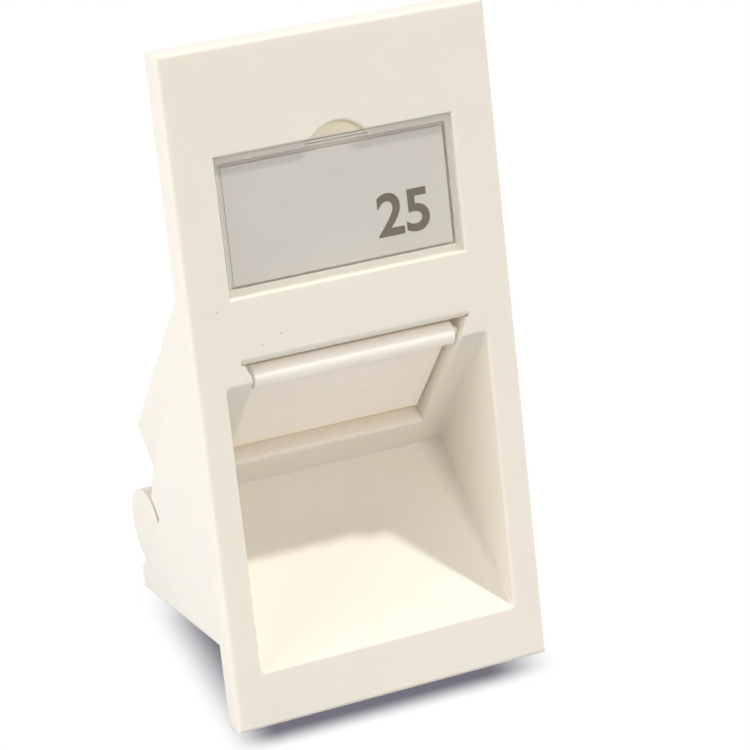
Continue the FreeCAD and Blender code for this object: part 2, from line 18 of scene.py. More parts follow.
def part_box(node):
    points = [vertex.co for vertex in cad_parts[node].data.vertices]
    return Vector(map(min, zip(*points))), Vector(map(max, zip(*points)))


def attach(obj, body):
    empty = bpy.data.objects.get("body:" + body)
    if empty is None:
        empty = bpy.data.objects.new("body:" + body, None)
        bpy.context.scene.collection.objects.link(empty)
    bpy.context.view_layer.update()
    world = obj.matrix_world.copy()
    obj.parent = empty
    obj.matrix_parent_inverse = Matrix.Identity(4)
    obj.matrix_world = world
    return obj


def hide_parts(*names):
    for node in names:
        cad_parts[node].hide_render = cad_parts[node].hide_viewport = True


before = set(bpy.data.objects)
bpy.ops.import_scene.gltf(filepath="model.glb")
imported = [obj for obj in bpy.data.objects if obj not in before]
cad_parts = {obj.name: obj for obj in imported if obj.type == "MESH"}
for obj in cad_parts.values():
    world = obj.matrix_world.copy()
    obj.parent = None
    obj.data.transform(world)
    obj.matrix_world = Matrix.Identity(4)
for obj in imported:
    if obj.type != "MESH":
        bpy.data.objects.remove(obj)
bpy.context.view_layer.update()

LOG = logging.getLogger("keystone_frame")
MM = 0.001
WHITE = (1.0, 1.0, 1.0)

# Scales of the surface noises, in repeats per metre
CLOUD_SCALE = 160.0
PATCH_SCALE = 900.0
GRAIN_SCALE = 5200.0
RAGGED_SCALE = 4000.0
WEAR_SCALE = 700.0
DRAWN_SCALE = 9000.0

# The panel's own directions and the line where it meets the front face
PANEL_SLOPE = math.sqrt(0.5)
PANEL_START_Y = -2.0 * MM
PANEL_START_Z = 0.8 * MM

Colour = tuple[float, float, float]
Place = tuple[float, float, float]


class Body(Enum):
    """The moving bodies that a piece can ride on."""

    FRAME = "frame"
    SHUTTER = "shutter"


class Slot(Enum):
    """The finishes that the part's record names."""

    FRAME = "frame_plastic"
    SHUTTER = "shutter_plastic"
    SPRING = "spring_wire"
    COVER = "clear_cover"
    CARD = "card"


class NodeTree:
    """Short calls that fill a node tree."""

    def __init__(self, tree: bpy.types.NodeTree) -> None:
        """Keep the tree.

        Args:
            tree: The shader or geometry node tree to fill.
        """
        self.tree = tree

    def add(self, kind: str, inputs: dict[Any, Any] | None = None, **settings: Any) -> bpy.types.Node:
        """Add a node.

        Args:
            kind: The node's type name.
            inputs: A value, or another node's output socket, for each input named or numbered.
            settings: Properties of the node itself.

        Returns:
            The new node.
        """
        node = self.tree.nodes.new(kind)
        for name, value in settings.items():
            setattr(node, name, value)
        for name, value in (inputs or {}).items():
            if isinstance(value, bpy.types.NodeSocket):
                self.tree.links.new(value, node.inputs[name])
            else:
                node.inputs[name].default_value = value
        return node

    def math(self, operation: str, first: Any, second: Any = 0.0) -> bpy.types.NodeSocket:
        """The output of a math node.

        Args:
            operation: The name of the operation.
            first: A number or a socket.
            second: A number or a socket.

        Returns:
            The node's value socket.
        """
        return self.add("ShaderNodeMath", {0: first, 1: second}, operation=operation).outputs[0]

    def mix(self, factor: Any, first: Any, second: Any) -> bpy.types.NodeSocket:
        """A mix of two colours.

        Args:
            factor: The share of the second colour, a number or a socket.
            first: A colour or a socket.
            second: A colour or a socket.

        Returns:
            The mixed colour's socket.
        """
        node = self.add("ShaderNodeMix", data_type="RGBA")
        factor_socket, first_socket, second_socket = node.inputs[0], node.inputs[6], node.inputs[7]
        for socket, value in ((factor_socket, factor), (first_socket, first), (second_socket, second)):
            if isinstance(value, bpy.types.NodeSocket):
                self.tree.links.new(value, socket)
            else:
                socket.default_value = value
        return node.outputs[2]


def opaque(colour: Colour) -> tuple[float, float, float, float]:
    """The colour with full alpha."""
    return (*colour, 1.0)


class ShaderGroups:
    """The shader node groups that the finishes share, each built once."""

    built: dict[str, bpy.types.NodeTree] = {}

    @classmethod
    def moulded_skin(cls) -> bpy.types.NodeTree:
        """The skin of moulded plastic: faint clouds of tone, a fine grain and uneven gloss.

        Returns:
            A group with Colour, Shade, Roughness and Spread in, and Colour, Roughness and Height out.
        """
        if "moulded_skin" in cls.built:
            return cls.built["moulded_skin"]
        tree = bpy.data.node_groups.new("moulded_skin", "ShaderNodeTree")
        asked = {"Colour": "Color", "Shade": "Color", "Roughness": "Float", "Spread": "Float"}
        for name, kind in asked.items():
            tree.interface.new_socket(name, in_out="INPUT", socket_type=f"NodeSocket{kind}")
        for name, kind in (("Colour", "Color"), ("Roughness", "Float"), ("Height", "Float")):
            tree.interface.new_socket(name, in_out="OUTPUT", socket_type=f"NodeSocket{kind}")
        nodes = NodeTree(tree)
        given = nodes.add("NodeGroupInput").outputs
        place = nodes.add("ShaderNodeTexCoord").outputs["Object"]
        clouds = nodes.add("ShaderNodeTexNoise", {"Vector": place, "Scale": CLOUD_SCALE, "Detail": 2.0})
        patches = nodes.add("ShaderNodeTexNoise", {"Vector": place, "Scale": PATCH_SCALE, "Detail": 3.0})
        grain = nodes.add("ShaderNodeTexNoise", {"Vector": place, "Scale": GRAIN_SCALE, "Detail": 2.0})
        tone = nodes.add("ShaderNodeMapRange", {
            "Value": clouds.outputs[0],
            "From Min": 0.35,
            "From Max": 0.75,
        })
        gloss = nodes.math("SUBTRACT", patches.outputs[0], 0.5)
        rough = nodes.math("MULTIPLY_ADD", gloss, given["Spread"])
        nodes.tree.links.new(given["Roughness"], rough.node.inputs[2])
        colour = nodes.mix(tone.outputs[0], given["Colour"], given["Shade"])
        nodes.add("NodeGroupOutput", {"Colour": colour, "Roughness": rough, "Height": grain.outputs[0]})
        cls.built["moulded_skin"] = tree
        return tree

    @classmethod
    def mark(cls) -> bpy.types.NodeTree:
        """A small ragged mark on a surface.

        Returns:
            A group with Place, Radius and Strength in, and Mask out.
        """
        if "mark" in cls.built:
            return cls.built["mark"]
        tree = bpy.data.node_groups.new("mark", "ShaderNodeTree")
        for name, kind in (("Place", "Vector"), ("Radius", "Float"), ("Strength", "Float")):
            tree.interface.new_socket(name, in_out="INPUT", socket_type=f"NodeSocket{kind}")
        tree.interface.new_socket("Mask", in_out="OUTPUT", socket_type="NodeSocketFloat")
        nodes = NodeTree(tree)
        given = nodes.add("NodeGroupInput").outputs
        place = nodes.add("ShaderNodeTexCoord").outputs["Object"]
        ragged = nodes.add("ShaderNodeTexNoise", {"Vector": place, "Scale": RAGGED_SCALE, "Detail": 2.0})
        away = nodes.add("ShaderNodeVectorMath", {0: place, 1: given["Place"]}, operation="DISTANCE")
        reach = nodes.math("DIVIDE", away.outputs["Value"], given["Radius"])
        edge = nodes.math("ADD", reach, nodes.math("SUBTRACT", ragged.outputs[0], 0.5))
        fade = nodes.add("ShaderNodeMapRange", {"Value": edge, "From Min": 1.0, "From Max": 0.4})
        mask = nodes.math("MULTIPLY", fade.outputs[0], given["Strength"])
        nodes.add("NodeGroupOutput", {"Mask": mask})
        cls.built["mark"] = tree
        return tree

    @classmethod
    def painted_edge_light(cls) -> bpy.types.NodeTree:
        """Painted light at the lower edge of the thin flap: a warm tone that stands in for light coming through it.

        Returns:
            A group with From and To in, distances down along the panel, and Mask out.
        """
        if "painted_edge_light" in cls.built:
            return cls.built["painted_edge_light"]
        tree = bpy.data.node_groups.new("painted_edge_light", "ShaderNodeTree")
        for name in ("From", "To"):
            tree.interface.new_socket(name, in_out="INPUT", socket_type="NodeSocketFloat")
        tree.interface.new_socket("Mask", in_out="OUTPUT", socket_type="NodeSocketFloat")
        nodes = NodeTree(tree)
        given = nodes.add("NodeGroupInput").outputs
        place = nodes.add("ShaderNodeTexCoord").outputs["Object"]
        from_start = nodes.add("ShaderNodeVectorMath", {0: place, 1: (0.0, -PANEL_START_Y, -PANEL_START_Z)})
        down = nodes.add("ShaderNodeVectorMath", {
            0: from_start.outputs[0],
            1: (0.0, PANEL_SLOPE, -PANEL_SLOPE),
        }, operation="DOT_PRODUCT")
        mask = nodes.add("ShaderNodeMapRange", {
            "Value": down.outputs["Value"],
            "From Min": given["From"],
            "From Max": given["To"],
        })
        nodes.add("NodeGroupOutput", {"Mask": mask.outputs[0]})
        cls.built["painted_edge_light"] = tree
        return tree

    @classmethod
    def inside_box(cls) -> bpy.types.NodeTree:
        """A mask that fills a box, where painted light is laid.

        Returns:
            A group with Low and High in, the box's corners, and Mask out.
        """
        if "inside_box" in cls.built:
            return cls.built["inside_box"]
        tree = bpy.data.node_groups.new("inside_box", "ShaderNodeTree")
        for name in ("Low", "High"):
            tree.interface.new_socket(name, in_out="INPUT", socket_type="NodeSocketVector")
        tree.interface.new_socket("Mask", in_out="OUTPUT", socket_type="NodeSocketFloat")
        nodes = NodeTree(tree)
        given = nodes.add("NodeGroupInput").outputs
        place = nodes.add("ShaderNodeTexCoord").outputs["Object"]
        above = nodes.add("ShaderNodeVectorMath", {0: place, 1: given["Low"]}, operation="SUBTRACT")
        below = nodes.add("ShaderNodeVectorMath", {0: given["High"], 1: place}, operation="SUBTRACT")
        nearest = nodes.add("ShaderNodeVectorMath", {0: above.outputs[0], 1: below.outputs[0]}, operation="MINIMUM")
        x, y, z = nodes.add("ShaderNodeSeparateXYZ", {0: nearest.outputs[0]}).outputs
        depth = nodes.math("MINIMUM", nodes.math("MINIMUM", x, y), z)
        mask = nodes.add("ShaderNodeMapRange", {"Value": depth, "From Min": 0.0, "From Max": 0.05 * MM})
        nodes.add("NodeGroupOutput", {"Mask": mask.outputs[0]})
        cls.built["inside_box"] = tree
        return tree

    @classmethod
    def soft_edges(cls) -> bpy.types.NodeTree:
        """The small rounding that every moulded edge has.

        Returns:
            A group with Radius in and Normal out.
        """
        if "soft_edges" in cls.built:
            return cls.built["soft_edges"]
        tree = bpy.data.node_groups.new("soft_edges", "ShaderNodeTree")
        tree.interface.new_socket("Radius", in_out="INPUT", socket_type="NodeSocketFloat")
        tree.interface.new_socket("Normal", in_out="OUTPUT", socket_type="NodeSocketVector")
        nodes = NodeTree(tree)
        given = nodes.add("NodeGroupInput").outputs
        bevel = nodes.add("ShaderNodeBevel", {"Radius": given["Radius"]}, samples=8)
        nodes.add("NodeGroupOutput", {"Normal": bevel.outputs[0]})
        cls.built["soft_edges"] = tree
        return tree


@dataclass(frozen=True)
class Mark:
    """A speck or stain on a surface."""

    place: Place
    radius: float
    strength: float
    colour: Colour


@dataclass(frozen=True)
class PaintedLight:
    """A colour painted over the plastic inside a box: painted light, not the plastic's own colour."""

    low: Place
    high: Place
    colour: Colour


@dataclass(frozen=True)
class MouldedPlastic:
    """Warm white moulded plastic that lets a little light in."""

    name: str
    colour: Colour
    shade: Colour
    roughness: float = 0.32
    roughness_spread: float = 0.16
    grain_height: float = 0.0025 * MM
    edge_radius: float = 0.12 * MM
    depth_of_light: float = 1.1 * MM
    share_of_light: float = 0.3
    light_spread: Colour = (1.0, 0.62, 0.35)
    marks: tuple[Mark, ...] = ()
    painted_lights: tuple[PaintedLight, ...] = ()
    # Painted light: an emission that brightens the part though it is no lamp.
    painted_glow_colour: Colour = WHITE
    painted_glow: float = 0.0
    # Painted light: a warm band, between these distances down the panel, for light coming through the flap's edge.
    painted_edge_light_colour: Colour = (0.95, 0.79, 0.48)
    painted_edge_light_from: float = 0.0
    painted_edge_light_to: float = 0.0

    def material(self) -> bpy.types.Material:
        """Build the material.

        Returns:
            The finished material.
        """
        made = bpy.data.materials.new(self.name)
        made.use_nodes = True
        made.node_tree.nodes.clear()
        nodes = NodeTree(made.node_tree)
        skin = nodes.add("ShaderNodeGroup", node_tree=ShaderGroups.moulded_skin())
        skin.inputs["Colour"].default_value = opaque(self.colour)
        skin.inputs["Shade"].default_value = opaque(self.shade)
        skin.inputs["Roughness"].default_value = self.roughness
        skin.inputs["Spread"].default_value = self.roughness_spread
        edges = nodes.add("ShaderNodeGroup", node_tree=ShaderGroups.soft_edges())
        edges.inputs["Radius"].default_value = self.edge_radius
        bump = nodes.add("ShaderNodeBump", {
            "Strength": 1.0,
            "Distance": self.grain_height,
            "Height": skin.outputs["Height"],
            "Normal": edges.outputs["Normal"],
        })
        colour = self.marked(nodes, self.with_painted_lights(nodes, skin.outputs["Colour"]))
        # Painted light: the warm band at the flap's lower edge.
        if self.painted_edge_light_to > self.painted_edge_light_from:
            edge = nodes.add("ShaderNodeGroup", node_tree=ShaderGroups.painted_edge_light())
            edge.inputs["From"].default_value = self.painted_edge_light_from
            edge.inputs["To"].default_value = self.painted_edge_light_to
            colour = nodes.mix(edge.outputs["Mask"], colour, opaque(self.painted_edge_light_colour))
        shader = nodes.add("ShaderNodeBsdfPrincipled", {
            "Base Color": colour,
            "Roughness": skin.outputs["Roughness"],
            "Normal": bump.outputs[0],
            "Emission Color": opaque(self.painted_glow_colour),
            "Emission Strength": self.painted_glow,
            "Subsurface Weight": self.share_of_light,
            "Subsurface Radius": self.light_spread,
            "Subsurface Scale": self.depth_of_light,
        })
        nodes.add("ShaderNodeOutputMaterial", {"Surface": shader.outputs[0]})
        return made

    def with_painted_lights(self, nodes: NodeTree, colour: bpy.types.NodeSocket) -> bpy.types.NodeSocket:
        """Lay the painted light over the plastic's colour.

        Args:
            nodes: The material's tree.
            colour: The plastic's own colour.

        Returns:
            The colour with its painted light.
        """
        for tone in self.painted_lights:
            inside = nodes.add("ShaderNodeGroup", node_tree=ShaderGroups.inside_box())
            inside.inputs["Low"].default_value = tone.low
            inside.inputs["High"].default_value = tone.high
            colour = nodes.mix(inside.outputs["Mask"], colour, opaque(tone.colour))
        return colour

    def marked(self, nodes: NodeTree, colour: bpy.types.NodeSocket) -> bpy.types.NodeSocket:
        """Lay the marks over the plastic's colour.

        Args:
            nodes: The material's tree.
            colour: The clean plastic's colour.

        Returns:
            The colour with its marks.
        """
        for mark in self.marks:
            spot = nodes.add("ShaderNodeGroup", node_tree=ShaderGroups.mark())
            spot.inputs["Place"].default_value = mark.place
            spot.inputs["Radius"].default_value = mark.radius
            spot.inputs["Strength"].default_value = mark.strength
            colour = nodes.mix(spot.outputs["Mask"], colour, opaque(mark.colour))
        return colour


@dataclass(frozen=True)
class ClearPlastic:
    """The clear, polished plastic of the window cover, which lets the lamps reach the card."""

    name: str
    tint: Colour
    refraction: float = 1.49
    clearest: float = 0.015
    dullest: float = 0.06

    def material(self) -> bpy.types.Material:
        """Build the material.

        Returns:
            The finished material.
        """
        made = bpy.data.materials.new(self.name)
        made.use_nodes = True
        made.node_tree.nodes.clear()
        nodes = NodeTree(made.node_tree)
        place = nodes.add("ShaderNodeTexCoord").outputs["Object"]
        wear = nodes.add("ShaderNodeTexNoise", {"Vector": place, "Scale": WEAR_SCALE, "Detail": 4.0})
        rough = nodes.add("ShaderNodeMapRange", {
            "Value": wear.outputs[0],
            "From Min": 0.4,
            "From Max": 0.8,
            "To Min": self.clearest,
            "To Max": self.dullest,
        })
        shader = nodes.add("ShaderNodeBsdfPrincipled", {
            "Base Color": opaque(self.tint),
            "Roughness": rough.outputs[0],
            "IOR": self.refraction,
            "Transmission Weight": 1.0,
        })
        through = nodes.add("ShaderNodeBsdfTransparent", {"Color": opaque(self.tint)})
        path = nodes.add("ShaderNodeLightPath")
        lamp_or_bounce = nodes.math("MAXIMUM", path.outputs["Is Shadow Ray"], path.outputs["Is Diffuse Ray"])
        mixed = nodes.add("ShaderNodeMixShader", {
            0: lamp_or_bounce,
            1: shader.outputs[0],
            2: through.outputs[0],
        })
        nodes.add("ShaderNodeOutputMaterial", {"Surface": mixed.outputs[0]})
        return made


@dataclass(frozen=True)
class CardStock:
    """Smooth grey-white card, or the ink printed on it."""

    name: str
    colour: Colour
    shade: Colour
    roughness: float = 0.62
    roughness_spread: float = 0.1
    grain_strength: float = 0.6
    grain_height: float = 0.004 * MM

    def material(self) -> bpy.types.Material:
        """Build the material.

        Returns:
            The finished material.
        """
        made = bpy.data.materials.new(self.name)
        made.use_nodes = True
        made.node_tree.nodes.clear()
        nodes = NodeTree(made.node_tree)
        skin = nodes.add("ShaderNodeGroup", node_tree=ShaderGroups.moulded_skin())
        skin.inputs["Colour"].default_value = opaque(self.colour)
        skin.inputs["Shade"].default_value = opaque(self.shade)
        skin.inputs["Roughness"].default_value = self.roughness
        skin.inputs["Spread"].default_value = self.roughness_spread
        bump = nodes.add("ShaderNodeBump", {
            "Strength": self.grain_strength,
            "Distance": self.grain_height,
            "Height": skin.outputs["Height"],
        })
        shader = nodes.add("ShaderNodeBsdfPrincipled", {
            "Base Color": skin.outputs["Colour"],
            "Roughness": skin.outputs["Roughness"],
            "Normal": bump.outputs[0],
        })
        nodes.add("ShaderNodeOutputMaterial", {"Surface": shader.outputs[0]})
        return made


@dataclass(frozen=True)
class DrawnSteel:
    """Bright drawn spring wire."""

    name: str
    colour: Colour
    roughness: float = 0.28
    smoother: float = 0.08
    rougher: float = 0.12

    def material(self) -> bpy.types.Material:
        """Build the material.

        Returns:
            The finished material.
        """
        made = bpy.data.materials.new(self.name)
        made.use_nodes = True
        made.node_tree.nodes.clear()
        nodes = NodeTree(made.node_tree)
        place = nodes.add("ShaderNodeTexCoord").outputs["Object"]
        lines = nodes.add("ShaderNodeTexNoise", {"Vector": place, "Scale": DRAWN_SCALE, "Detail": 3.0})
        rough = nodes.add("ShaderNodeMapRange", {
            "Value": lines.outputs[0],
            "To Min": self.roughness - self.smoother,
            "To Max": self.roughness + self.rougher,
        })
        shader = nodes.add("ShaderNodeBsdfPrincipled", {
            "Base Color": opaque(self.colour),
            "Metallic": 1.0,
            "Roughness": rough.outputs[0],
        })
        nodes.add("ShaderNodeOutputMaterial", {"Surface": shader.outputs[0]})
        return made


class Recipe:
    """A Geometry Nodes tree with named inputs that grows a mesh from a seed."""

    def __init__(self, name: str, inputs: dict[str, tuple[str, Any]]) -> None:
        """Start the tree.

        Args:
            name: The tree's name.
            inputs: The socket type and the value of each named input.
        """
        self.tree = bpy.data.node_groups.new(name, "GeometryNodeTree")
        self.nodes = NodeTree(self.tree)
        self.values = {label: value for label, (_, value) in inputs.items()}
        self.tree.interface.new_socket("Geometry", in_out="INPUT", socket_type="NodeSocketGeometry")
        for label, (kind, _) in inputs.items():
            self.tree.interface.new_socket(label, in_out="INPUT", socket_type=f"NodeSocket{kind}")
        self.tree.interface.new_socket("Geometry", in_out="OUTPUT", socket_type="NodeSocketGeometry")
        self.given = self.nodes.add("NodeGroupInput").outputs

    def join(self, *parts: bpy.types.NodeSocket) -> bpy.types.NodeSocket:
        """Join several geometries.

        Args:
            parts: The geometries.

        Returns:
            The joined geometry.
        """
        joined = self.nodes.add("GeometryNodeJoinGeometry")
        for part in parts:
            self.tree.links.new(part, joined.inputs[0])
        return joined.outputs[0]

    def finish(self, shape: bpy.types.NodeSocket, smooth_to: float) -> None:
        """End the tree: real geometry, smooth where it bends gently, with its material.

        Args:
            shape: The geometry.
            smooth_to: The largest angle between faces that still looks smooth, in radians.
        """
        real = self.nodes.add("GeometryNodeRealizeInstances", {"Geometry": shape})
        bend = self.nodes.add("GeometryNodeInputMeshEdgeAngle").outputs["Unsigned Angle"]
        gentle = self.nodes.add("FunctionNodeCompare", {0: bend, 1: smooth_to}, operation="LESS_EQUAL")
        faces = self.nodes.add("GeometryNodeSetShadeSmooth", {
            "Geometry": real.outputs[0],
            "Shade Smooth": True,
        })
        edges = self.nodes.add("GeometryNodeSetShadeSmooth", {
            "Geometry": faces.outputs[0],
            "Shade Smooth": gentle.outputs[0],
        }, domain="EDGE")
        dressed = self.nodes.add("GeometryNodeSetMaterial", {
            "Geometry": edges.outputs[0],
            "Material": self.given["Material"],
        })
        self.nodes.add("NodeGroupOutput", {"Geometry": dressed.outputs[0]})

    def grow(self, name: str, seed: bpy.types.Mesh) -> bpy.types.Object:
        """Run the tree on a seed.

        Args:
            name: The new piece's name.
            seed: The mesh that it grows from.

        Returns:
            The piece, with a plain mesh.
        """
        start = bpy.data.objects.new(f"{name}_seed", seed)
        bpy.context.scene.collection.objects.link(start)
        modifier = start.modifiers.new("recipe", "NODES")
        modifier.node_group = self.tree
        for item in self.tree.interface.items_tree:
            if item.in_out == "INPUT" and item.name in self.values:
                modifier[item.identifier] = self.values[item.name]
        graph = bpy.context.evaluated_depsgraph_get()
        grown = bpy.data.meshes.new_from_object(
            start.evaluated_get(graph), preserve_all_data_layers=True, depsgraph=graph
        )
        start.modifiers.clear()
        bpy.data.objects.remove(start)
        grown.name = name
        piece = bpy.data.objects.new(name, grown)
        bpy.context.scene.collection.objects.link(piece)
        return piece


def outline_seed(name: str, lines: list[list[tuple[float, float, float]]], closed: bool) -> bpy.types.Mesh:
    """A mesh of edges only, to grow a piece from.

    Args:
        name: The mesh's name.
        lines: The points of each line.
        closed: Whether the lines return to their first points.

    Returns:
        The seed mesh.
    """
    points: list[tuple[float, float, float]] = []
    edges: list[tuple[int, int]] = []
    for line in lines:
        first = len(points)
        points.extend(line)
        edges.extend((first + index, first + index + 1) for index in range(len(line) - 1))
        if closed:
            edges.append((first + len(line) - 1, first))
    mesh = bpy.data.meshes.new(name)
    mesh.from_pydata(points, edges, [])
    return mesh


def arc(
    centre: tuple[float, float], radius: float, start: float, end: float, steps: int
) -> list[tuple[float, float]]:
    """Points on an arc in the recess's section coordinates s and t.

    Args:
        centre: The arc's centre.
        radius: Its radius.
        start: The angle of its first point, in degrees from the s axis towards t.
        end: The angle of its last point.
        steps: The number of steps.

    Returns:
        The points, with both ends.
    """
    angles = [math.radians(start + (end - start) * index / steps) for index in range(steps + 1)]
    return [(centre[0] + radius * math.cos(a), centre[1] + radius * math.sin(a)) for a in angles]


def on_panel(s: float, t: float) -> tuple[float, float]:
    """Y and Z of a point in the recess's section coordinates.

    Args:
        s: The distance behind the panel's front surface.
        t: The distance down along it.

    Returns:
        The point's Y and Z.
    """
    return PANEL_START_Y + (s + t) * PANEL_SLOPE, PANEL_START_Z + (s - t) * PANEL_SLOPE


def dress(node: str, material: bpy.types.Material) -> None:
    """Give a solid its finish.

    Args:
        node: The solid's name.
        material: The finish.
    """
    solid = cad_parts[node]
    solid.data.materials.clear()
    solid.data.materials.append(material)
    LOG.info("dressed %s with %s", node, material.name)


def take_on(piece: bpy.types.Object, body: Body) -> None:
    """Let a new piece ride on a body.

    Args:
        piece: The piece, in place.
        body: The body that it moves with.
    """
    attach(piece, body.value)
    LOG.info("made %s with %d faces on %s", piece.name, len(piece.data.polygons), body.value)


@dataclass
class FrameBody:
    """The moulding that carries everything."""

    finish: MouldedPlastic

    def build(self) -> None:
        """Dress the moulding."""
        dress("frame_body", self.finish.material())


@dataclass
class ShutterFlap:
    """The hinged flap that closes the port, swept along X from its section."""

    finish: MouldedPlastic
    front: float = 1.0 * MM
    thickness: float = 0.85 * MM
    end: float = 11.2 * MM
    width: float = 15.5 * MM
    end_radius: float = 0.2 * MM
    barrel_along: float = 0.9 * MM
    barrel_radius: float = 0.85 * MM
    barrel_length: float = 15.8 * MM
    blend_radius: float = 0.5 * MM
    pin_radius: float = 0.4 * MM
    pin_length: float = 2.6 * MM
    key_reach: float = 0.95 * MM
    key_width: float = 0.95 * MM
    key_thickness: float = 0.4 * MM
    key_rest: float = 40.0
    barrel_faces: int = 96
    pin_faces: int = 48
    smooth_to: float = 32.0
    weld: float = 0.001 * MM

    def build(self) -> None:
        """Grow the flap and let it swing with the shutter."""
        seed = outline_seed("flap_section", [self.section()], closed=True)
        piece = self.recipe().grow("shutter", seed)
        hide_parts("shutter_flap")
        take_on(piece, Body.SHUTTER)

    def section(self) -> list[Place]:
        """The outline of the flap below its barrel, with the hollow blend and the rounded lower end.

        Returns:
            Points in the plane x = 0, as Y, Z and a zero.
        """
        back = self.front + self.thickness
        r = self.end_radius
        reach = self.barrel_radius + self.blend_radius
        along = self.barrel_along + math.sqrt(reach ** 2 - self.blend_radius ** 2)
        hollow = (self.front - self.blend_radius, along)
        turn = math.degrees(math.atan2(self.barrel_along - along, self.blend_radius))
        outline = [(self.front, self.barrel_along)]
        outline += arc(hollow, self.blend_radius, turn, 0.0, 8)
        outline += arc((self.front + r, self.end - r), r, 180.0, 90.0, 5)
        outline += arc((back - r, self.end - r), r, 90.0, 0.0, 5)
        outline.append((back, self.barrel_along))
        return [(*on_panel(s, t), 0.0) for s, t in outline]

    def recipe(self) -> Recipe:
        """The tree that fills the section, sweeps it and adds the barrel, the pins and the key.

        Returns:
            The recipe.
        """
        made = Recipe("sweep_flap", {
            "Width": ("Float", self.width),
            "Barrel Radius": ("Float", self.barrel_radius),
            "Barrel Length": ("Float", self.barrel_length),
            "Pin Radius": ("Float", self.pin_radius),
            "Pin Length": ("Float", self.pin_length),
            "Material": ("Material", self.finish.material()),
        })
        nodes, given = made.nodes, made.given
        curve = nodes.add("GeometryNodeMeshToCurve", {"Mesh": given["Geometry"]}).outputs[0]
        side = nodes.add("GeometryNodeFillCurve", {"Curve": curve}).outputs[0]
        swept = nodes.add("GeometryNodeExtrudeMesh", {
            "Mesh": side,
            "Offset": (0.0, 0.0, 1.0),
            "Offset Scale": given["Width"],
            "Individual": False,
        }).outputs[0]
        other = nodes.add("GeometryNodeFlipFaces", {"Mesh": side}).outputs[0]
        both = nodes.add("GeometryNodeMergeByDistance", {
            "Geometry": made.join(swept, other),
            "Distance": self.weld,
        }).outputs[0]
        half = nodes.math("MULTIPLY", given["Width"], -0.5)
        shift = nodes.add("ShaderNodeCombineXYZ", {"Z": half}).outputs[0]
        centred = nodes.add("GeometryNodeTransform", {"Geometry": both, "Translation": shift}).outputs[0]
        turn = Matrix(((0, 0, 1), (1, 0, 0), (0, 1, 0))).to_euler()
        panel = nodes.add("GeometryNodeTransform", {"Geometry": centred, "Rotation": turn}).outputs[0]
        pins = nodes.math("MULTIPLY_ADD", given["Pin Length"], 2.0)
        nodes.tree.links.new(given["Barrel Length"], pins.node.inputs[2])
        barrel = self.rod(made, given["Barrel Radius"], given["Barrel Length"], self.barrel_faces)
        pin = self.rod(made, given["Pin Radius"], pins, self.pin_faces)
        made.finish(made.join(panel, barrel, pin, self.key(made)), math.radians(self.smooth_to))
        return made

    def rod(self, made: Recipe, radius: Any, length: Any, around: int) -> bpy.types.NodeSocket:
        """A rod along the hinge axis.

        Args:
            made: The recipe that it belongs to.
            radius: The rod's radius.
            length: The rod's length.
            around: The number of faces round it.

        Returns:
            The rod's geometry.
        """
        plain = made.nodes.add("GeometryNodeMeshCylinder", {
            "Vertices": around,
            "Radius": radius,
            "Depth": length,
        }).outputs[0]
        return made.nodes.add("GeometryNodeTransform", {
            "Geometry": plain,
            "Rotation": (0.0, math.radians(90.0), 0.0),
            "Translation": (0.0, *on_panel(self.front, self.barrel_along)),
        }).outputs[0]

    def key(self, made: Recipe) -> bpy.types.NodeSocket:
        """The stop key at the barrel's left end.

        Args:
            made: The recipe that it belongs to.

        Returns:
            The key's geometry.
        """
        turn = math.radians(self.key_rest)
        y, z = on_panel(self.front, self.barrel_along)
        middle = self.key_reach / 2
        block = made.nodes.add("GeometryNodeMeshCube", {
            "Size": (self.key_width, self.key_thickness, self.key_reach),
        }).outputs[0]
        x = -(self.barrel_length + self.key_width) / 2
        place = (x, y + middle * math.sin(turn), z + middle * math.cos(turn))
        return made.nodes.add("GeometryNodeTransform", {
            "Geometry": block,
            "Rotation": (-turn, 0.0, 0.0),
            "Translation": place,
        }).outputs[0]


@dataclass
class LabelWindow:
    """The card with its printed number, and the clear cover over it."""

    cover: ClearPlastic
    card: CardStock
    ink: CardStock
    number: str = "25"
    number_height: float = 3.2 * MM
    number_x: float = 4.8 * MM
    number_z: float = 10.7 * MM
    stroke_growth: float = 0.02
    ink_thickness: float = 0.02 * MM

    def build(self) -> None:
        """Dress the card and the cover, and print the number."""
        dress("label_card", self.card.material())
        dress("window_cover", self.cover.material())
        self.print_number()

    def print_number(self) -> None:
        """Lay the number on the front of the card."""
        curve = bpy.data.curves.new("card_number", "FONT")
        curve.body = self.number
        curve.extrude = self.ink_thickness / 2
        curve.align_x = "CENTER"
        curve.offset = self.stroke_growth
        letters = bpy.data.objects.new("card_number", curve)
        bpy.context.scene.collection.objects.link(letters)
        flat = bpy.data.meshes.new_from_object(letters.evaluated_get(bpy.context.evaluated_depsgraph_get()))
        bpy.data.objects.remove(letters)
        low = min(v.co.y for v in flat.vertices)
        high = max(v.co.y for v in flat.vertices)
        middle_x = (min(v.co.x for v in flat.vertices) + max(v.co.x for v in flat.vertices)) / 2
        grow = self.number_height / (high - low)
        card_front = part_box("label_card")[0].y
        for vertex in flat.vertices:
            x = (vertex.co.x - middle_x) * grow + self.number_x
            z = (vertex.co.y - (low + high) / 2) * grow + self.number_z
            vertex.co = (x, card_front - vertex.co.z - self.ink_thickness / 2, z)
        flat.materials.clear()
        flat.materials.append(self.ink.material())
        piece = bpy.data.objects.new("card_number", flat)
        bpy.context.scene.collection.objects.link(piece)
        take_on(piece, Body.FRAME)


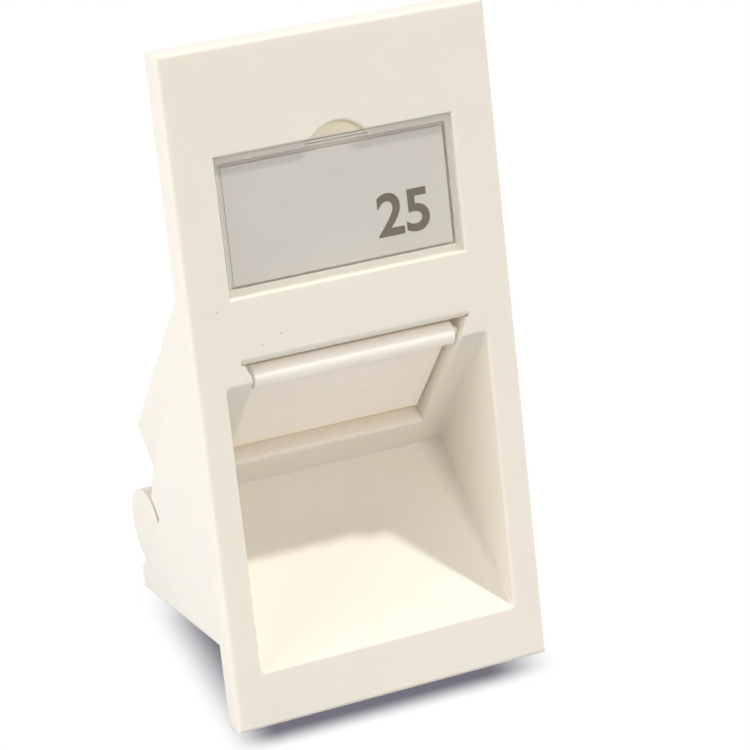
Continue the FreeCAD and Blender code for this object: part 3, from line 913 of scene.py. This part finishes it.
@dataclass
class ReturnSpring:
    """The torsion spring round the right-hand pin: a coil and two bent legs."""

    finish: DrawnSteel
    wire_radius: float = 0.1 * MM
    coil_radius: float = 0.57 * MM
    turns: float = 2.0
    pitch: float = 0.3 * MM
    start: float = 9.13 * MM
    bend_radius: float = 0.12 * MM
    leg: float = 0.45 * MM
    axis: tuple[float, float] = on_panel(1.0 * MM, 0.9 * MM)
    bend_steps: int = 8
    turn_steps: int = 48
    wire_faces: int = 16
    smooth_to: float = 50.0

    def build(self) -> None:
        """Grow the spring."""
        seed = outline_seed("spring_legs", self.legs(), closed=False)
        piece = self.recipe().grow("spring", seed)
        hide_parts("return_spring")
        take_on(piece, Body.FRAME)

    def legs(self) -> list[list[Place]]:
        """The corner points of the inner leg and the outer leg.

        Returns:
            Two lines of three points.
        """
        y, z = self.axis
        top = z + self.coil_radius
        end = self.start + self.turns * self.pitch
        drop = self.bend_radius + self.leg
        before, behind = y - self.bend_radius, y + self.bend_radius
        inner = [(self.start, y, top), (self.start, before, top), (self.start, before, top - drop)]
        outer = [(end, y, top), (end, behind, top), (end, behind, top + drop)]
        return [inner, outer]

    def recipe(self) -> Recipe:
        """The tree that bends the legs, winds the coil and gives both their thickness.

        Returns:
            The recipe.
        """
        made = Recipe("wind_spring", {
            "Turns": ("Float", self.turns),
            "Coil Radius": ("Float", self.coil_radius),
            "Pitch": ("Float", self.pitch),
            "Wire Radius": ("Float", self.wire_radius),
            "Bend Radius": ("Float", self.bend_radius),
            "Material": ("Material", self.finish.material()),
        })
        nodes, given = made.nodes, made.given
        lines = nodes.add("GeometryNodeMeshToCurve", {"Mesh": given["Geometry"]}).outputs[0]
        legs = nodes.add("GeometryNodeFilletCurve", {
            "Curve": lines,
            "Radius": given["Bend Radius"],
            "Count": self.bend_steps,
        }, mode="POLY")
        coil = nodes.add("GeometryNodeCurveSpiral", {
            "Resolution": self.turn_steps,
            "Rotations": given["Turns"],
            "Start Radius": given["Coil Radius"],
            "End Radius": given["Coil Radius"],
            "Height": nodes.math("MULTIPLY", given["Pitch"], given["Turns"]),
            "Reverse": True,
        }).outputs[0]
        turn = Matrix(((0, 0, 1), (0, -1, 0), (1, 0, 0))).to_euler()
        wound = nodes.add("GeometryNodeTransform", {
            "Geometry": coil,
            "Rotation": turn,
            "Translation": (self.start, *self.axis),
        }).outputs[0]
        profile = nodes.add("GeometryNodeCurvePrimitiveCircle", {
            "Resolution": self.wire_faces,
            "Radius": given["Wire Radius"],
        }).outputs[0]
        wire = nodes.add("GeometryNodeCurveToMesh", {
            "Curve": made.join(legs.outputs[0], wound),
            "Profile Curve": profile,
            "Fill Caps": True,
        }).outputs[0]
        made.finish(wire, math.radians(self.smooth_to))
        return made


@dataclass
class Studio:
    """A pale floor, soft light and the camera."""

    camera_place: Place = (-79.76 * MM, -198.20 * MM, 60.54 * MM)
    camera_turn: tuple[float, float, float] = (74.405, 5.939, -24.426)
    camera_lens: float = 147.34
    camera_shift: tuple[float, float] = (-0.0214, -0.0433)
    rest_line: Place = (0.0, 0.0, -25.0 * MM)
    rest_lean: float = 20.8
    floor_reach: float = 160.0 * MM
    floor_colour: Colour = (0.5, 0.5, 0.515)
    # Painted shadow on the floor: its colour, then the soft edges of its footprint on each side.
    painted_shadow_colour: Colour = (0.175, 0.17, 0.205)
    contact_left: tuple[float, float] = (-13.7 * MM, -9.3 * MM)
    contact_right: tuple[float, float] = (13.6 * MM, 7.6 * MM)
    contact_front: tuple[float, float] = (-3.65 * MM, -1.6 * MM)
    contact_back: tuple[float, float] = (18.0 * MM, 11.0 * MM)
    ambient_colour: Colour = (0.96, 0.97, 1.0)
    ambient: float = 0.37
    key_from: Place = (0.393, -0.329, 0.859)
    key_colour: Colour = (0.98, 1.0, 0.97)
    key_strength: float = 1.9
    key_softness: float = 3.0
    front_from: Place = (0.05, -0.94, 0.34)
    front_colour: Colour = WHITE
    front_strength: float = 0.84
    front_softness: float = 16.0
    fill_from: Place = (-1.0, -0.06, 0.3)
    fill_colour: Colour = (0.97, 1.0, 1.0)
    fill_strength: float = 2.3
    fill_softness: float = 50.0

    def build(self) -> None:
        """Set up the floor, the lights and the camera; the key light leaves no mirror spot."""
        bpy.context.scene.view_settings.view_transform = "Standard"
        self.lay_floor()
        self.light_world()
        key = self.hang_sun("key_light", self.key_from, self.key_colour, self.key_strength, self.key_softness)
        key.visible_glossy = False
        self.hang_sun(
            "front_light", self.front_from, self.front_colour, self.front_strength, self.front_softness
        )
        self.hang_sun("fill_light", self.fill_from, self.fill_colour, self.fill_strength, self.fill_softness)
        self.place_camera()

    def lay_floor(self) -> None:
        """Lay the floor that the leaning module rests on, seen from its upper side only."""
        reach = self.floor_reach
        corners = [(-reach, -reach, 0), (reach, -reach, 0), (reach, reach, 0), (-reach, reach, 0)]
        mesh = bpy.data.meshes.new("floor")
        mesh.from_pydata(corners, [], [(0, 1, 2, 3)])
        mesh.materials.append(self.floor_material())
        floor = bpy.data.objects.new("floor", mesh)
        floor.location = self.rest_line
        floor.rotation_euler = (math.radians(self.rest_lean), 0.0, 0.0)
        bpy.context.scene.collection.objects.link(floor)

    def floor_material(self) -> bpy.types.Material:
        """A pale floor with painted soft contact shadows, white further out, that can't be seen from below.

        Returns:
            The floor's material.
        """
        made = bpy.data.materials.new("pale_floor")
        made.use_nodes = True
        made.node_tree.nodes.clear()
        nodes = NodeTree(made.node_tree)
        path = nodes.add("ShaderNodeLightPath")
        seen = self.ray_to_white(nodes, path)
        lit = nodes.add("ShaderNodeBsdfDiffuse", {"Color": opaque(self.floor_colour)})
        shown = nodes.add("ShaderNodeEmission", {"Color": self.painted_contact_shadow(nodes), "Strength": 1.0})
        upper = nodes.add("ShaderNodeMixShader", {0: seen, 1: lit.outputs[0], 2: shown.outputs[0]})
        clear = nodes.add("ShaderNodeBsdfTransparent")
        below = nodes.add("ShaderNodeNewGeometry").outputs["Backfacing"]
        both = nodes.add("ShaderNodeMixShader", {0: below, 1: upper.outputs[0], 2: clear.outputs[0]})
        nodes.add("ShaderNodeOutputMaterial", {"Surface": both.outputs[0]})
        return made

    def painted_contact_shadow(self, nodes: NodeTree) -> bpy.types.NodeSocket:
        """White with a painted shadow that darkens softly under the part's footprint.

        Args:
            nodes: The floor's tree.

        Returns:
            The tone's colour socket.
        """
        across, along, _ = nodes.add("ShaderNodeSeparateXYZ", {
            0: nodes.add("ShaderNodeTexCoord").outputs["Object"],
        }).outputs
        shade: Any = 1.0
        sides = (
            (across, self.contact_left),
            (across, self.contact_right),
            (along, self.contact_front),
            (along, self.contact_back),
        )
        for place, (clear, dark) in sides:
            fade = nodes.add("ShaderNodeMapRange", {
                "Value": place,
                "From Min": clear,
                "From Max": dark,
            }, interpolation_type="SMOOTHSTEP")
            shade = nodes.math("MULTIPLY", fade.outputs[0], shade)
        return nodes.mix(shade, opaque(WHITE), opaque(self.painted_shadow_colour))

    @staticmethod
    def ray_to_white(nodes: NodeTree, path: bpy.types.Node) -> bpy.types.NodeSocket:
        """One where the camera, a reflection or clear plastic looks at the background.

        Args:
            nodes: The tree to build in.
            path: The tree's Light Path node.

        Returns:
            A socket that is one or zero.
        """
        mirrored = nodes.math("MAXIMUM", path.outputs["Is Camera Ray"], path.outputs["Is Glossy Ray"])
        return nodes.math("MAXIMUM", mirrored, path.outputs["Is Transmission Ray"])

    def light_world(self) -> None:
        """Make the world an even soft light that looks white."""
        world = bpy.data.worlds.new("studio")
        world.use_nodes = True
        world.node_tree.nodes.clear()
        nodes = NodeTree(world.node_tree)
        path = nodes.add("ShaderNodeLightPath")
        seen = self.ray_to_white(nodes, path)
        light = nodes.add("ShaderNodeBackground", {
            "Color": opaque(self.ambient_colour),
            "Strength": self.ambient,
        })
        white = nodes.add("ShaderNodeBackground", {"Color": opaque(WHITE), "Strength": 1.0})
        both = nodes.add("ShaderNodeMixShader", {0: seen, 1: light.outputs[0], 2: white.outputs[0]})
        nodes.add("ShaderNodeOutputWorld", {"Surface": both.outputs[0]})
        bpy.context.scene.world = world

    def hang_sun(
        self, name: str, source: Place, colour: Colour, strength: float, softness: float
    ) -> bpy.types.Object:
        """Hang a lamp far away in one direction.

        Args:
            name: The lamp's name.
            source: The direction that it shines from.
            colour: Its colour.
            strength: Its strength.
            softness: The angle that it fills, in degrees.

        Returns:
            The lamp's object.
        """
        lamp = bpy.data.lights.new(name, "SUN")
        lamp.color = colour
        lamp.energy = strength
        lamp.angle = math.radians(softness)
        holder = bpy.data.objects.new(name, lamp)
        holder.rotation_euler = Vector(source).to_track_quat("Z", "Y").to_euler()
        bpy.context.scene.collection.objects.link(holder)
        return holder

    def place_camera(self) -> None:
        """Put the camera where the view of the reference asks for it."""
        data = bpy.data.cameras.new("camera")
        data.lens = self.camera_lens
        data.shift_x, data.shift_y = self.camera_shift
        data.clip_start = MM
        camera = bpy.data.objects.new("camera", data)
        camera.location = self.camera_place
        camera.rotation_euler = Euler([math.radians(angle) for angle in self.camera_turn])
        bpy.context.scene.collection.objects.link(camera)
        bpy.context.scene.camera = camera


PLATE_MARKS = (
    Mark((-10.29 * MM, -2.0 * MM, 6.37 * MM), 0.10 * MM, 0.5, (0.35, 0.28, 0.22)),
    Mark((-7.17 * MM, -2.0 * MM, 3.37 * MM), 0.12 * MM, 0.35, (0.35, 0.28, 0.22)),
    Mark((-5.71 * MM, -2.0 * MM, 3.95 * MM), 0.10 * MM, 0.35, (0.35, 0.28, 0.22)),
)
FLOOR_MARKS = (
    Mark((-0.32 * MM, 3.99 * MM, -14.56 * MM), 0.16 * MM, 0.5, (0.45, 0.38, 0.3)),
    Mark((1.64 * MM, 3.81 * MM, -14.74 * MM), 0.14 * MM, 0.35, (0.45, 0.38, 0.3)),
    Mark((9.09 * MM, 5.58 * MM, -12.97 * MM), 0.35 * MM, 0.55, (0.78, 0.62, 0.32)),
)
CHEEK_MARKS = (
    Mark((-12.35 * MM, 5.11 * MM, -10.97 * MM), 0.12 * MM, 0.5, (0.4, 0.3, 0.22)),
    Mark((-12.35 * MM, 12.73 * MM, -13.7 * MM), 0.12 * MM, 0.5, (0.4, 0.3, 0.22)),
)
# Painted light: a lighter, warmer colour in the thumb notch above the window, where the notch's walls would shade
# it.
NOTCH_PAINTED_LIGHT = PaintedLight(
    low=(-1.95 * MM, -1.8 * MM, 17.2 * MM),
    high=(2.55 * MM, -1.2 * MM, 18.3 * MM),
    colour=(0.98, 0.87, 0.68),
)
FLAP_MARKS = (Mark((2.7 * MM, 3.6 * MM, -3.38 * MM), 0.12 * MM, 0.4, (0.4, 0.33, 0.27)),)

BODY_PLASTIC = MouldedPlastic(
    name="warm_white_plastic",
    colour=(0.85, 0.787, 0.69),
    shade=(0.84, 0.775, 0.675),
    marks=PLATE_MARKS + FLOOR_MARKS + CHEEK_MARKS,
    painted_lights=(NOTCH_PAINTED_LIGHT,),
)
# Painted light: the flap's colour is a lighter copy of the body's plastic, and it glows faintly, standing in for
# light that comes through the thin flap onto it and its barrel.
FLAP_PLASTIC = MouldedPlastic(
    name="warm_white_flap_plastic",
    colour=(0.88, 0.82, 0.735),
    shade=(0.865, 0.795, 0.71),
    marks=FLAP_MARKS,
    painted_glow_colour=(1.0, 0.88, 0.82),
    painted_glow=0.1,
    # Painted light: the warm band at the flap's lower edge.
    painted_edge_light_from=10.68 * MM,
    painted_edge_light_to=10.95 * MM,
)
COVER_PLASTIC = ClearPlastic(name="clear_cover_plastic", tint=(0.96, 0.955, 0.95))
CARD = CardStock(name="grey_white_card", colour=(0.69, 0.645, 0.567), shade=(0.66, 0.615, 0.543))
INK = CardStock(name="olive_grey_ink", colour=(0.105, 0.083, 0.03), shade=(0.095, 0.075, 0.027))
SPRING_STEEL = DrawnSteel(name="drawn_spring_steel", colour=(0.62, 0.61, 0.59))


def main() -> None:
    """Dress every piece of the keystone frame and set up the studio."""
    logging.basicConfig(level=logging.INFO, format="%(message)s")
    FrameBody(BODY_PLASTIC).build()
    ShutterFlap(FLAP_PLASTIC).build()
    LabelWindow(COVER_PLASTIC, CARD, INK).build()
    ReturnSpring(SPRING_STEEL).build()
    Studio().build()


if __name__ == "__main__":
    main()
